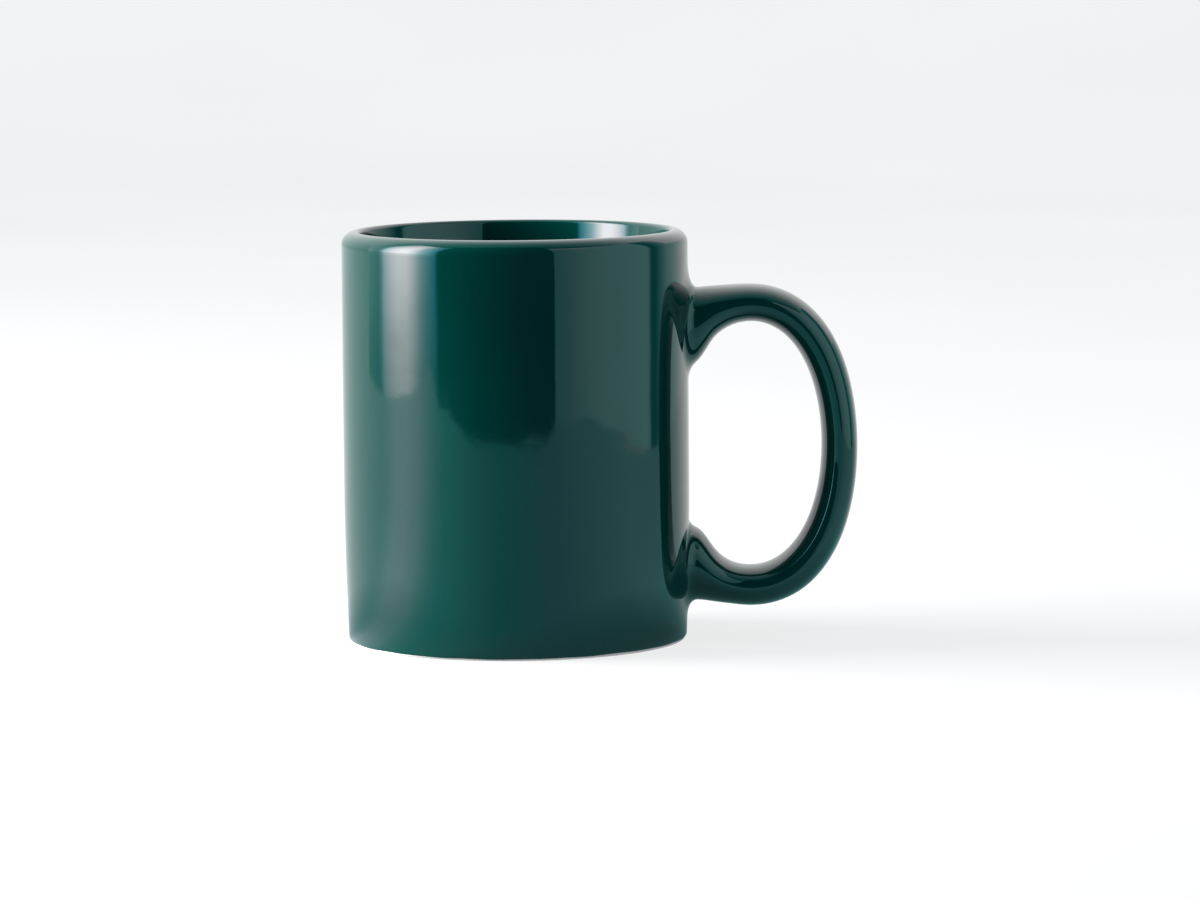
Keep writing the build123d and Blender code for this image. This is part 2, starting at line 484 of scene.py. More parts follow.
@dataclass(frozen=True)
class HandleShape:
    """The handle: an ear-shaped loop whose two arms widen into the wall. Sizes are in millimetres."""

    cup: CupShape
    top: float
    bottom: float
    reach: float
    loop_x: float = 54.4
    top_thickness: float = 8.7
    side_thickness: float = 8.4
    bottom_thickness: float = 9.4
    outer_fullness: float = 0.028
    inner_fullness: float = 0.0167
    section_fullness: float = 0.02
    half_width: float = 8.0
    root_half_width: float = 9.0
    flare_reach: float = 2.4
    flare_power: float = 1.25
    root_blend: float = 8.0
    spacing: float = 1.15
    arm_steps: int = 72
    loop_steps: int = 301
    root_steps: int = 12
    smoothing: int = 40

    @classmethod
    def from_frame(cls, cup: CupShape) -> "HandleShape":
        """Read the loop's height and reach from the frame."""
        low, high = (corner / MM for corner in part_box("clay_handle"))
        return cls(cup=cup, top=high.z + cup.glaze, bottom=low.z - cup.glaze, reach=high.x + cup.glaze)

    @property
    def arm_length(self) -> float:
        """How far the arms run from the wall before the loop starts."""
        return self.loop_x - self.cup.radius

    def flare(self, root: Root) -> Flare:
        """Size of the wiped slip at one end."""
        upper, lower = Flare(outer=7.0, inner=3.0, side=4.0), Flare(outer=4.0, inner=2.0, side=4.0)
        return upper if root is Root.UPPER else lower

    @cached_property
    def edges(self) -> tuple[Array, Array]:
        """The handle's two edges in the XZ plane.

        Returns:
            Outer and inner edge from the upper root to the lower, point beside point.
        """
        end = self.arm_length
        upper_outer = [(0, -0.85), (3, -0.6), (6.5, -0.34), (end, 0)]
        upper_inner = [
            (0, -10.5),
            (1.7, -9.5),
            (2.9, -8.5),
            (4.1, -6.6),
            (5.3, -4.35),
            (7.6, -2.2),
            (9.9, -0.87),
            (12.2, -0.22),
            (end, 0),
        ]
        lower_outer = [(0, 1.45), (2, 1.42), (3.2, 1.37), (5.5, 0.95), (7.8, 0.65), (end, 0)]
        lower_inner = [
            (0, 9.25),
            (1.6, 9.0),
            (2.8, 8.45),
            (3.9, 6.95),
            (5.1, 4.95),
            (6.2, 3.4),
            (7.4, 2.25),
            (9.7, 0.85),
            (12, 0.15),
            (end, 0),
        ]
        inner_top, inner_bottom = self.top - self.top_thickness, self.bottom + self.bottom_thickness
        inner_reach = self.reach - self.side_thickness
        outer = [
            self.arm_edge(upper_outer, self.top),
            self.loop_edge(self.top, self.bottom, self.reach, self.outer_fullness),
            self.arm_edge(lower_outer, self.bottom)[::-1],
        ]
        inner = [
            self.arm_edge(upper_inner, inner_top),
            self.loop_edge(inner_top, inner_bottom, inner_reach, self.inner_fullness),
            self.arm_edge(lower_inner, inner_bottom)[::-1],
        ]
        return relax(np.vstack(outer), self.smoothing), relax(np.vstack(inner), self.smoothing)

    def arm_edge(self, knots: Knots, level: float) -> Array:
        """One edge of an arm, from the wall out, as heights above the level of its outer end."""
        out = np.linspace(0, self.arm_length, self.arm_steps, endpoint=False)
        return np.stack([self.cup.radius + out, level + smooth_curve(knots, out)], axis=1)

    def loop_edge(self, top: float, bottom: float, reach: float, fullness: float) -> Array:
        """One edge of the loop: half an ellipse, drawn out a little between its axes.

        Args:
            top: Height of its upper end.
            bottom: Height of its lower end.
            reach: Its greatest distance from the mug's axis.
            fullness: Share by which it is drawn out.

        Returns:
            The edge's points, from its upper end to its lower.
        """
        angle = np.linspace(math.pi / 2, -math.pi / 2, self.loop_steps)
        full = 1 + fullness * np.sin(2 * angle) ** 2
        x = self.loop_x + (reach - self.loop_x) * full * np.cos(angle)
        z = (top + bottom) / 2 + (top - bottom) / 2 * full * np.sin(angle)
        return np.stack([x, z], axis=1)

    @cached_property
    def middle(self) -> Array:
        """The handle's middle line in the XZ plane."""
        outer, inner = self.edges
        return (outer + inner) / 2

    def section(
        self, station: float, flare: Flare | None = None, share: float = 0.0, inset: float = 0.0
    ) -> Array:
        """One ring of points round the handle, not yet bent to the wall.

        Args:
            station: Place along the edges, counted in their points.
            flare: The wiped slip that widens this ring, or None.
            share: How much of that flare the ring has, from 0 to 1.
            inset: How far the ring lies inside the glazed surface.

        Returns:
            The ring's points.
        """
        count = np.arange(len(self.middle))
        pairs = [[np.interp(station, count, edge[:, axis]) for axis in (0, 1)] for edge in self.edges]
        outer, inner = np.array(pairs)
        across = (outer - inner) / np.linalg.norm(outer - inner)
        along = (outer[0] + inner[0]) / 2 - self.cup.radius
        narrowing = ease(np.array(along / self.arm_length))
        half_width = self.root_half_width + (self.half_width - self.root_half_width) * narrowing - inset
        outer_grow, inner_grow = -inset, -inset
        if flare:
            outer_grow += flare.outer * share
            inner_grow += flare.inner * share
            half_width += flare.side * share
        outer = outer + across * outer_grow
        inner = inner - across * inner_grow
        angles = Patch(0).angles()
        full = 1 + self.section_fullness * np.sin(2 * angles) ** 2
        flat = (outer + inner) / 2 + (full * np.cos(angles))[:, None] * (outer - inner) / 2
        return np.stack([flat[:, 0], half_width * full * np.sin(angles), flat[:, 1]], axis=1)

    def on_wall(self, points: Array, out: float) -> Array:
        """Move points along X to a distance off the glazed wall, whose curve they follow near it.

        Args:
            points: The points to move.
            out: Their distance from the wall.

        Returns:
            The moved points.
        """
        blend = float(ease(np.array(out / self.root_blend)))
        wall = np.sqrt(self.cup.wall_radius(points[:, 2]) ** 2 - points[:, 1] ** 2)
        moved = points.copy()
        moved[:, 0] = out + (1 - blend) * wall + blend * self.cup.radius
        return moved

    def station_at(self, root: Root, out: float) -> float:
        """Place along the edges that is a given distance off the wall.

        Args:
            root: The end of the handle to look at.
            out: The distance from the wall.

        Returns:
            The place, counted in the edges' points.
        """
        off_wall = self.middle[:, 0] - self.cup.radius
        half = len(off_wall) // 2
        if root is Root.UPPER:
            return float(np.interp(out, off_wall[:half], np.arange(half)))
        lower = off_wall[half:][::-1]
        return float(len(off_wall) - 1 - np.interp(out, lower, np.arange(len(lower))))

    def root_rings(self, root: Root, inset: float = 0.0) -> list[Array]:
        """Rings of the wiped slip at one root.

        Args:
            root: The end of the handle.
            inset: How far the rings lie inside the glazed surface.

        Returns:
            The rings, from the wall outwards.
        """
        rings = []
        for angle in np.linspace(0, math.pi / 2, self.root_steps):
            out = self.flare_reach * (1 - math.cos(angle))
            share = (1 - math.sin(angle)) ** self.flare_power
            station = self.station_at(root, max(out, 0))
            ring = self.section(station, self.flare(root), share, inset * math.sin(angle))
            rings.append(self.on_wall(ring, out - inset * math.cos(angle)))
        return rings

    def span_rings(self, start: float, inset: float = 0.0) -> list[Array]:
        """Rings of the handle from one root to the other.

        Args:
            start: How far the first and last ring stand off the wall.
            inset: How far the rings lie inside the glazed surface.

        Returns:
            The rings, from the upper root round the loop to the lower.
        """
        count = np.arange(len(self.middle))
        length = np.concatenate([[0], np.cumsum(np.linalg.norm(np.diff(self.middle, axis=0), axis=1))])
        ends = [self.station_at(root, start) for root in (Root.UPPER, Root.LOWER)]
        first, last = np.interp(ends, count, length)
        steps = np.linspace(first, last, round((last - first) / self.spacing) + 1)
        rings = []
        for station in np.interp(steps, length, count):
            ring = self.section(float(station), inset=inset)
            out = float(np.interp(station, count, self.middle[:, 0])) - self.cup.radius
            fitted = self.on_wall(ring, out)
            fitted[:, 0] += ring[:, 0] - out - self.cup.radius
            rings.append(fitted)
        return rings


# ---------------------------------------------------------------- finishes


class Shader:
    """A material's node tree, with short calls that add to it."""

    def __init__(self, name: str) -> None:
        """Start a material with an empty node tree.

        Args:
            name: The material's name.
        """
        self.material = bpy.data.materials.new(name)
        self.material.use_nodes = True
        self.tree = self.material.node_tree
        self.tree.nodes.clear()

    def add(self, kind: str, inputs: dict | None = None, **settings: object) -> bpy.types.Node:
        """Add a node.

        Args:
            kind: The node's type, without its "ShaderNode" prefix.
            inputs: Values or sockets for its inputs, by name or number.
            **settings: Properties to set on the node.

        Returns:
            The new node.
        """
        node = self.tree.nodes.new("ShaderNode" + kind)
        for key, value in settings.items():
            setattr(node, key, value)
        for key, value in (inputs or {}).items():
            if isinstance(value, Socket):
                self.tree.links.new(value, node.inputs[key])
            else:
                node.inputs[key].default_value = value
        return node

    def place(self) -> Socket:
        """Position on the piece, in metres."""
        return self.add("TexCoord").outputs["Object"]

    def noise(self, scale: float, detail: float) -> Socket:
        """Noise from 0 to 1 with features about one over scale metres across."""
        inputs = {"Vector": self.place(), "Scale": scale, "Detail": detail}
        return self.add("TexNoise", inputs).outputs["Fac"]

    def ramp(self, value: Socket, stops: list[tuple[float, Colour]]) -> Socket:
        """Colour that follows a value.

        Args:
            value: The value, from 0 to 1.
            stops: Pairs of value and colour, in order.

        Returns:
            The colour.
        """
        node = self.add("ValToRGB", {"Fac": value})
        elements = node.color_ramp.elements
        elements[0].position, elements[0].color = stops[0][0], (*stops[0][1], 1)
        elements[1].position, elements[1].color = stops[-1][0], (*stops[-1][1], 1)
        for position, colour in stops[1:-1]:
            elements.new(position).color = (*colour, 1)
        return node.outputs["Color"]

    def spread(self, value: Socket, low: float, high: float, start: float, end: float) -> Socket:
        """Value from start to end as the input goes from low to high."""
        inputs = {"Value": value, "From Min": low, "From Max": high, "To Min": start, "To Max": end}
        return self.add("MapRange", inputs, clamp=True).outputs["Result"]

    def mix(self, share: float | Socket, first: object, second: object) -> Socket:
        """Mix of two colours, given as values or sockets.

        Args:
            share: How much of the second colour there is, from 0 to 1.
            first: The first colour.
            second: The second colour.

        Returns:
            The mixed colour.
        """
        node = self.add("Mix", data_type="RGBA")
        for key, value in ((0, share), (6, first), (7, second)):
            if isinstance(value, Socket):
                self.tree.links.new(value, node.inputs[key])
            else:
                node.inputs[key].default_value = value if key == 0 else (*value, 1)
        return node.outputs[2]

    def bump(self, height: Socket, depth: float, under: Socket | None = None) -> Socket:
        """Normal of a bumpy surface.

        Args:
            height: Height of the bumps, from 0 to 1.
            depth: Their depth in metres.
            under: The normal of another bump that this one lies on, or None.

        Returns:
            The normal.
        """
        inputs = {"Height": height, "Distance": depth, "Strength": 1.0}
        if under:
            inputs["Normal"] = under
        return self.add("Bump", inputs).outputs["Normal"]

    def finish(self, surface: Socket) -> bpy.types.Material:
        """End the tree with its surface, and return the material."""
        self.add("OutputMaterial", {"Surface": surface})
        return self.material


@dataclass(frozen=True)
class GlazeFinish:
    """Gloss ceramic glaze: deep colour under a smooth glassy surface.

    The lip's height and its paler band are in millimetres. Scales are features per metre, and depths
    are in metres.
    """

    name: str
    deep: Colour = (0.0002, 0.0312, 0.0262)
    thin: Colour = (0.0016, 0.037, 0.0312)
    speck: Colour = (0.006, 0.056, 0.044)
    clouding: float = 1.14
    roughness: float = 0.045
    ior: float = 1.5
    lip: float = 95.0
    lip_band: float = 1.4
    cloud_scale: float = 34.0
    grain_scale: float = 900.0
    speck_scale: float = 260.0
    speck_patch_scale: float = 75.0
    wave_scale: float = 160.0
    wave_depth: float = 0.000012
    peel_scale: float = 800.0
    peel_depth: float = 0.0000012

    def material(self) -> bpy.types.Material:
        """Build the material: soft clouding, fine grain, a paler lip, rare specks, faint orange peel.

        Returns:
            The material.
        """
        shader = Shader(self.name)
        cloud = shader.spread(shader.noise(self.cloud_scale, 3), 0.35, 0.65, 0.0, 1.0)
        grain = shader.spread(shader.noise(self.grain_scale, 2), 0.3, 0.7, 0.0, 0.35)
        clouded = shader.mix(cloud, self.deep, tuple(part * self.clouding for part in self.deep))
        mottled = shader.mix(grain, clouded, self.thin)
        height = shader.add("SeparateXYZ", {"Vector": shader.place()}).outputs["Z"]
        near_lip = shader.spread(height, (self.lip - self.lip_band) * MM, self.lip * MM, 0.0, 0.55)
        breaking = shader.mix(near_lip, mottled, self.thin)
        cells = shader.add("TexVoronoi", {"Vector": shader.place(), "Scale": self.speck_scale})
        dots = cells.outputs["Distance"]
        rare = shader.spread(shader.noise(self.speck_patch_scale, 0), 0.60, 0.66, 0.0, 1.0)
        fleck = shader.spread(dots, 0.05, 0.085, 0.55, 0.0)
        share = shader.add("Math", {0: fleck, 1: rare}, operation="MULTIPLY").outputs[0]
        colour = shader.mix(share, breaking, self.speck)
        wave = shader.bump(shader.noise(self.wave_scale, 1), self.wave_depth)
        peel = shader.bump(shader.noise(self.peel_scale, 1), self.peel_depth, wave)
        surface = shader.add(
            "BsdfPrincipled",
            {"Base Color": colour, "Roughness": self.roughness, "IOR": self.ior, "Normal": peel},
        )
        return shader.finish(surface.outputs[0])


@dataclass(frozen=True)
class ClayFinish:
    """Fired white clay with no glaze: chalky, with a fine grain and small dark specks."""

    name: str
    colour: Colour = (0.80, 0.77, 0.69)
    stain: Colour = (0.62, 0.57, 0.48)
    speck: Colour = (0.24, 0.19, 0.14)
    roughness: float = 0.82
    cloud_scale: float = 120.0
    speck_scale: float = 2600.0
    grain_scale: float = 3000.0
    grain_depth: float = 0.00003
    ring_pitch: float = 0.0009
    ring_depth: float = 0.00001

    def material(self) -> bpy.types.Material:
        """Build the material: clouded colour, grain, specks, and the fine rings left by turning.

        Returns:
            The material.
        """
        shader = Shader(self.name)
        cloud = shader.spread(shader.noise(self.cloud_scale, 4), 0.4, 0.75, 0.0, 0.6)
        stained = shader.mix(cloud, self.colour, self.stain)
        dots = shader.spread(shader.noise(self.speck_scale, 1), 0.68, 0.74, 0.0, 0.7)
        colour = shader.mix(dots, stained, self.speck)
        grain = shader.bump(shader.noise(self.grain_scale, 3), self.grain_depth)
        rings = shader.add(
            "TexWave",
            {"Vector": shader.place(), "Scale": 0.05 / self.ring_pitch, "Distortion": 0.6, "Detail": 1.0},
            wave_type="RINGS",
            rings_direction="Z",
        )
        normal = shader.bump(rings.outputs["Fac"], self.ring_depth, grain)
        inputs = {"Base Color": colour, "Roughness": self.roughness, "Normal": normal}
        return shader.finish(shader.add("BsdfPrincipled", inputs).outputs[0])


@dataclass(frozen=True)
class FloorFinish:
    """Plain pale studio surface that keeps an even tone away from the lamps."""

    name: str = "studio_floor"
    colour: Colour = (0.15, 0.15, 0.15)
    glow: float = 0.8
    wall_glow: float = 1.7
    wall_start: float = 0.12
    wall_end: float = 1.6

    def material(self) -> bpy.types.Material:
        """Build the material: matt, faintly clouded, with an even glow that grows up the wall.

        Returns:
            The material.
        """
        shader = Shader(self.name)
        tone = shader.spread(shader.noise(3, 2), 0.3, 0.7, 0.97, 1.0)
        matt = shader.add("BsdfDiffuse", {"Color": (*self.colour, 1)})
        height = shader.add("SeparateXYZ", {"Vector": shader.place()}).outputs["Z"]
        glow = shader.spread(height, self.wall_start, self.wall_end, self.glow, self.wall_glow)
        light = shader.add("Emission", {"Color": (1, 1, 1, 1), "Strength": glow})
        both = shader.add("AddShader", {0: matt.outputs[0], 1: light.outputs[0]})
        self_lit = shader.add("MixShader", {"Fac": tone, 1: matt.outputs[0], 2: both.outputs[0]})
        material = shader.finish(self_lit.outputs[0])
        material.cycles.emission_sampling = "NONE"
        return material


@dataclass(frozen=True)
class Shade:
    """A soft dim spot on a card, with its size in metres."""

    middle: tuple[float, float, float]
    inner: float
    outer: float
    depth: float

    def share(self, shader: Shader) -> Socket:
        """Share of the light that the spot leaves, from its middle out to one."""
        away = shader.add("VectorMath", {0: shader.place(), 1: self.middle}, operation="DISTANCE")
        return shader.spread(away.outputs["Value"], self.inner, self.outer, 1 - self.depth, 1.0)


@dataclass(frozen=True)
class Glow:
    """Light of a studio card, by compass bearing from the mug and by height.

    Bearings are in degrees: 0 towards the camera, 90 along the handle. Heights and distances are in
    metres. A card with a reach lies on the table, where its light is paler near the mug.
    """

    name: str
    bearings: list[tuple[float, Colour]]
    rise: Knots = field(default_factory=list)
    reach: Knots = field(default_factory=list)
    shades: tuple[Shade, ...] = ()
    nearest_purity: float = 0.75

    def material(self) -> bpy.types.Material:
        """Build the material: light that changes smoothly with bearing, and with height or distance.

        Returns:
            The material.
        """
        shader = Shader(self.name)
        quarter = {"Vector": shader.place(), "Rotation": (0, 0, math.pi / 2)}
        turned = shader.add("Mapping", quarter).outputs[0]
        bearing = shader.add("TexGradient", {"Vector": turned}, gradient_type="RADIAL").outputs["Fac"]
        peak = max(max(colour) for _, colour in self.bearings)
        stops = [(angle / 360 + 0.5, tuple(part / peak for part in tone)) for angle, tone in self.bearings]
        colour = shader.ramp(bearing, stops)
        strength = peak
        if self.rise:
            height = shader.add("SeparateXYZ", {"Vector": shader.place()}).outputs["Z"]
            strength = self.along(shader, height, self.rise, peak)
        if self.reach:
            distance = shader.add("VectorMath", {0: shader.place()}, operation="LENGTH").outputs["Value"]
            strength = self.along(shader, distance, self.reach, peak)
            purity = shader.spread(distance, self.reach[0][0], self.reach[1][0], self.nearest_purity, 1.0)
            colour = shader.add("HueSaturation", {"Color": colour, "Saturation": purity}).outputs["Color"]
        for shade in self.shades:
            inputs = {0: strength, 1: shade.share(shader)}
            strength = shader.add("Math", inputs, operation="MULTIPLY").outputs[0]
        light = shader.add("Emission", {"Color": colour, "Strength": strength})
        material = shader.finish(light.outputs[0])
        material.cycles.emission_sampling = "NONE"
        return material

    def along(self, shader: Shader, where: Socket, knots: Knots, peak: float) -> Socket:
        """Strength that follows a height or a distance.

        Args:
            shader: The material that is being built.
            where: The height or distance, in metres.
            knots: Pairs of metres and share of the light.
            peak: Strength of a share of one.

        Returns:
            The strength.
        """
        end, most = knots[-1][0], max(share for _, share in knots)
        part_way = shader.spread(where, 0, end, 0, 1)
        grey = shader.ramp(part_way, [(at / end, (share / most,) * 3) for at, share in knots])
        return shader.add("Math", {0: grey, 1: peak * most}, operation="MULTIPLY").outputs[0]


@dataclass(frozen=True)
class CeilingGlow:
    """Light of the ceiling, which is bright behind the mug and fades towards the camera.

    Its stops are places along Y in metres, from the camera's side to the back, with their colours.
    """

    name: str = "card_ceiling"
    stops: tuple[tuple[float, Colour], ...] = (
        (-1.4, (0.05, 0.4, 0.38)),
        (-1.0, (0.10, 0.5, 0.47)),
        (-0.5, (0.28, 0.72, 0.69)),
        (0.0, (0.52, 0.95, 0.93)),
        (0.8, (1.2, 1.45, 1.44)),
        (1.4, (1.7, 1.8, 1.8)),
        (2.6, (1.8, 1.85, 1.85)),
    )

    def material(self) -> bpy.types.Material:
        """Build the material: light that changes smoothly along Y.

        Returns:
            The material.
        """
        shader = Shader(self.name)
        first, last = self.stops[0][0], self.stops[-1][0]
        peak = max(self.stops[-1][1])
        along = shader.add("SeparateXYZ", {"Vector": shader.place()}).outputs["Y"]
        span = last - first
        stops = [((y - first) / span, tuple(part / peak for part in tone)) for y, tone in self.stops]
        colour = shader.ramp(shader.spread(along, first, last, 0, 1), stops)
        light = shader.add("Emission", {"Color": colour, "Strength": peak})
        material = shader.finish(light.outputs[0])
        material.cycles.emission_sampling = "NONE"
        return material


# ---------------------------------------------------------------- the mug's pieces


def dress(piece: bpy.types.Object, material: bpy.types.Material, node: str) -> None:
    """Give a piece its finish and its place in the frame.

    Args:
        piece: The piece.
        material: Its finish.
        node: The CAD node that it stands for.
    """
    piece.data.materials.append(material)
    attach(piece, BODY)
    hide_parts(node)
    log.info("%s: %d faces, %s", piece.name, len(piece.data.polygons), material.name)


@dataclass
class Cup:
    """Clay of the cup, the glaze inside it and the glaze under its foot."""

    shape: CupShape
    clay: bpy.types.Material
    liner: bpy.types.Material
    base: bpy.types.Material
    ripple: Ripple

    def build(self) -> None:
        """Make all three pieces."""
        self.build_clay()
        self.build_liner()
        self.build_base()

    def build_clay(self) -> None:
        """Turn the clay: recess, foot ring, wall, lip, inside and floor."""
        cup = self.shape
        ceiling = cup.recess_depth + cup.glaze
        foot_inner = cup.recess + cup.recess_depth
        foot_outer = float(cup.wall_radius(np.array(cup.bare_height))) - cup.glaze - cup.bare_height
        recess_x = np.linspace(0, cup.recess, 20)
        recess = np.stack([recess_x, np.full_like(recess_x, ceiling)], axis=1)
        cove = arc((cup.recess, 0), cup.recess_depth, 90, 12, 10)
        inner_edge = arc((foot_inner + cup.foot_edge * 0.9, cup.foot_edge), cup.foot_edge, 190, 270, 6)
        contact_x = np.linspace(foot_inner + cup.foot_edge, foot_outer, 7)[1:-1]
        contact = np.stack([contact_x, np.zeros_like(contact_x)], axis=1)
        outer_edge = arc((foot_outer, cup.bare_height), cup.bare_height, -90, 0, 9)
        wall_z = np.linspace(cup.bare_height, cup.lip_start, 70)[1:-1]
        wall = np.stack([cup.wall_radius(wall_z) - cup.glaze, wall_z], axis=1)
        lip = cup.outer_lip(cup.glaze, 13)
        outside = [recess, cove, inner_edge, contact, outer_edge, wall, lip[:-1]]
        outline = np.vstack([*outside, cup.inside(cup.glaze)])
        dress(make_turned("cup_clay", outline, cup.columns), self.clay, "clay_body")

    def build_liner(self) -> None:
        """Make the liner glaze as a closed shell from the crest of the lip to the middle of the floor."""
        cup = self.shape
        angles = np.arange(cup.columns) * 2 * math.pi / cup.columns
        layers = []
        for inset in (0.0, cup.glaze):
            outline = cup.inside(inset)
            radius, height = outline[:-1, 0, None], outline[:-1, 1, None]
            turned = [radius * np.cos(angles), radius * np.sin(angles), height + 0 * angles]
            grid = np.stack(turned, axis=-1)
            layers.append(np.vstack([grid.reshape(-1, 3), [0, 0, outline[-1, 1]]]))
        points, backs = layers
        rows = (len(points) - 1) // cup.columns
        last = list(range((rows - 1) * cup.columns, rows * cup.columns))
        faces = grid_faces(rows, cup.columns) + fan_faces(last, len(points) - 1)
        normals = point_normals(points, faces)
        normals[: cup.columns] = (0, 0, 1)
        points = points - normals * self.ripple.at(points)[:, None]
        normals = point_normals(points, faces)
        normals[: cup.columns] = (0, 0, 1)
        sheet = Sheet(points, backs, normals)
        dress(sheet.shell("liner_glaze", faces), self.liner, "inner_glaze")

    def build_base(self) -> None:
        """Turn the disc of glaze in the recess, with a rounded edge."""
        cup = self.shape
        low, high = cup.recess_depth, cup.recess_depth + cup.glaze
        under_x = np.linspace(0, cup.recess - cup.glaze, 24)
        under = np.stack([under_x, np.full_like(under_x, low)], axis=1)
        edge = arc((cup.recess - cup.glaze, high), cup.glaze, -90, 0, 6)[1:]
        outline = np.vstack([under, edge, [0, high]])
        dress(make_turned("foot_glaze", outline, cup.columns), self.base, "base_glaze")


@dataclass
class OutsideCoat:
    """Glaze of the cup's outside and of the handle, drawn as one flowing surface and cut at two patches."""

    cup: CupShape
    handle: HandleShape
    glaze: bpy.types.Material
    ripple: Ripple
    first_row_z: float = 2.4
    row_step: float = 1.2
    row_count: int = 75
    line_rows: int = 9
    lip_rows: int = 12
    wall_rings: int = 5
    edge_height: float = 0.6
    edge_thickness: float = 0.05
    line_seed: int = 4
    line_unevenness: float = 0.6
    upper_patch_row: int = 46
    lower_patch_row: int = 0

    @property
    def patches(self) -> dict[Root, Patch]:
        """The patch round each end of the handle."""
        return {Root.UPPER: Patch(self.upper_patch_row), Root.LOWER: Patch(self.lower_patch_row)}

    def glaze_line(self, angles: Array) -> Array:
        """Height at which the glaze starts, a little uneven round the foot.

        Args:
            angles: Directions from the mug's axis.

        Returns:
            The height in each direction.
        """
        random = np.random.default_rng(self.line_seed)
        total = 0.16 * np.cos(angles - 0.4)
        for waves in (3, 5, 8, 13, 21):
            total += random.uniform(0.02, 0.05) * np.sin(waves * angles + random.uniform(0, 2 * math.pi))
        return self.cup.bare_height + self.line_unevenness * (total - total.min())

    def rows(self, angles: Array) -> tuple[Array, Array, Array]:
        """Rows of points of the cup's outside, from the glaze line to the crest of the lip.

        Args:
            angles: Direction of each column.

        Returns:
            Radius and height of the glaze by row and column, and both together for the clay under it.
        """
        start = self.glaze_line(angles)
        share = np.linspace(0, 1, self.line_rows, endpoint=False)[:, None] ** 1.5
        line_z = start + share * (self.first_row_z - start)
        regular_z = self.first_row_z + self.row_step * np.arange(self.row_count)[:, None] + 0 * angles
        lip = self.cup.outer_lip(0, self.lip_rows)
        bare = self.cup.outer_lip(self.cup.glaze, self.lip_rows)
        wall_z = np.vstack([line_z, regular_z])
        rounding = 1 - np.clip(1 - (wall_z - start) / self.edge_height, 0, 1) ** 2
        thickness = self.edge_thickness + (self.cup.glaze - self.edge_thickness) * np.sqrt(rounding)
        clay = self.cup.wall_radius(wall_z) - self.cup.glaze
        radius = np.vstack([clay + thickness, lip[:, :1] + 0 * angles])
        height = np.vstack([wall_z, lip[:, 1:] + 0 * angles])
        clay_radius = np.vstack([clay, bare[:, :1] + 0 * angles])
        clay_height = np.vstack([wall_z, bare[:, 1:] + 0 * angles])
        return radius, height, np.stack([clay_radius, clay_height])

    def grid_index(self, column: int, regular_row: int) -> int:
        """Number of the point at a column and a regular row."""
        return (self.line_rows + regular_row) * self.cup.columns + column % self.cup.columns

    def wall_rings_to(self, outline: Array, edge: Array) -> list[Array]:
        """Rings on the wall between a patch's edge and the handle.

        Args:
            outline: The handle's outline on the wall.
            edge: The patch's edge.

        Returns:
            The rings, from the edge in towards the outline.
        """
        rings = []
        for share in np.linspace(0, 1, self.wall_rings + 1)[1:-1]:
            flat = edge + share * (outline - edge)
            rings.append(self.handle.on_wall(flat, 0))
        return rings

    def build(self) -> None:
        """Make both pieces."""
        columns = self.cup.columns
        angles = np.arange(columns) * 2 * math.pi / columns
        radius, height, clay = self.rows(angles)
        grid, backs = (
            np.stack([away * np.cos(angles), away * np.sin(angles), up], axis=-1).reshape(-1, 3)
            for away, up in ((radius, height), clay)
        )
        crest = list(range(len(grid) - columns, len(grid)))

        inside_patch = set()
        edges = {}
        for root, patch in self.patches.items():
            half = patch.columns // 2
            for row in range(patch.bottom_row, patch.bottom_row + patch.rows):
                inside_patch |= {self.grid_index(column, row) for column in range(-half, half)}
            steps = patch.edge_steps()
            if root is Root.LOWER:
                top = 2 * patch.bottom_row + patch.rows
                steps = [(column, top - row) for column, row in steps]
            edges[root] = [self.grid_index(column, row) for column, row in steps]
        body_faces = [face for face in grid_faces(len(radius), columns) if face[0] not in inside_patch]

        upper, lower = (self.handle.root_rings(root) for root in (Root.UPPER, Root.LOWER))
        span = self.handle.span_rings(self.handle.flare_reach + 0.7)
        rings = self.wall_rings_to(upper[0], grid[edges[Root.UPPER]]) + upper + span
        rings += lower[::-1] + self.wall_rings_to(lower[0], grid[edges[Root.LOWER]])[::-1]
        around = len(rings[0])
        starts = [len(grid) + row * around for row in range(len(rings))]
        numbers = [list(range(start, start + around)) for start in starts]
        chain = [edges[Root.UPPER], *numbers, edges[Root.LOWER]]
        handle_faces = [face for ring, after in zip(chain, chain[1:]) for face in band_faces(ring, after)]

        points = np.vstack([grid, *rings])
        faces = body_faces + handle_faces
        normals = point_normals(points, faces)
        normals[crest] = (0, 0, 1)
        backs = np.vstack([backs, points[len(grid) :] - normals[len(grid) :] * self.cup.glaze])
        points = points - normals * self.ripple.at(points)[:, None] * self.full_depth(points)[:, None]
        normals = point_normals(points, faces)
        normals[crest] = (0, 0, 1)
        sheet = Sheet(points, backs, normals)
        dress(sheet.shell("body_glaze", body_faces), self.glaze, "outer_glaze")
        dress(sheet.shell("grip_glaze", handle_faces), self.glaze, "handle_glaze")

    def full_depth(self, points: Array) -> Array:
        """Share of the ripple at each point: none at the glaze's thin lower edge."""
        return ease((points[:, 2] - self.first_row_z + 1) / 4)


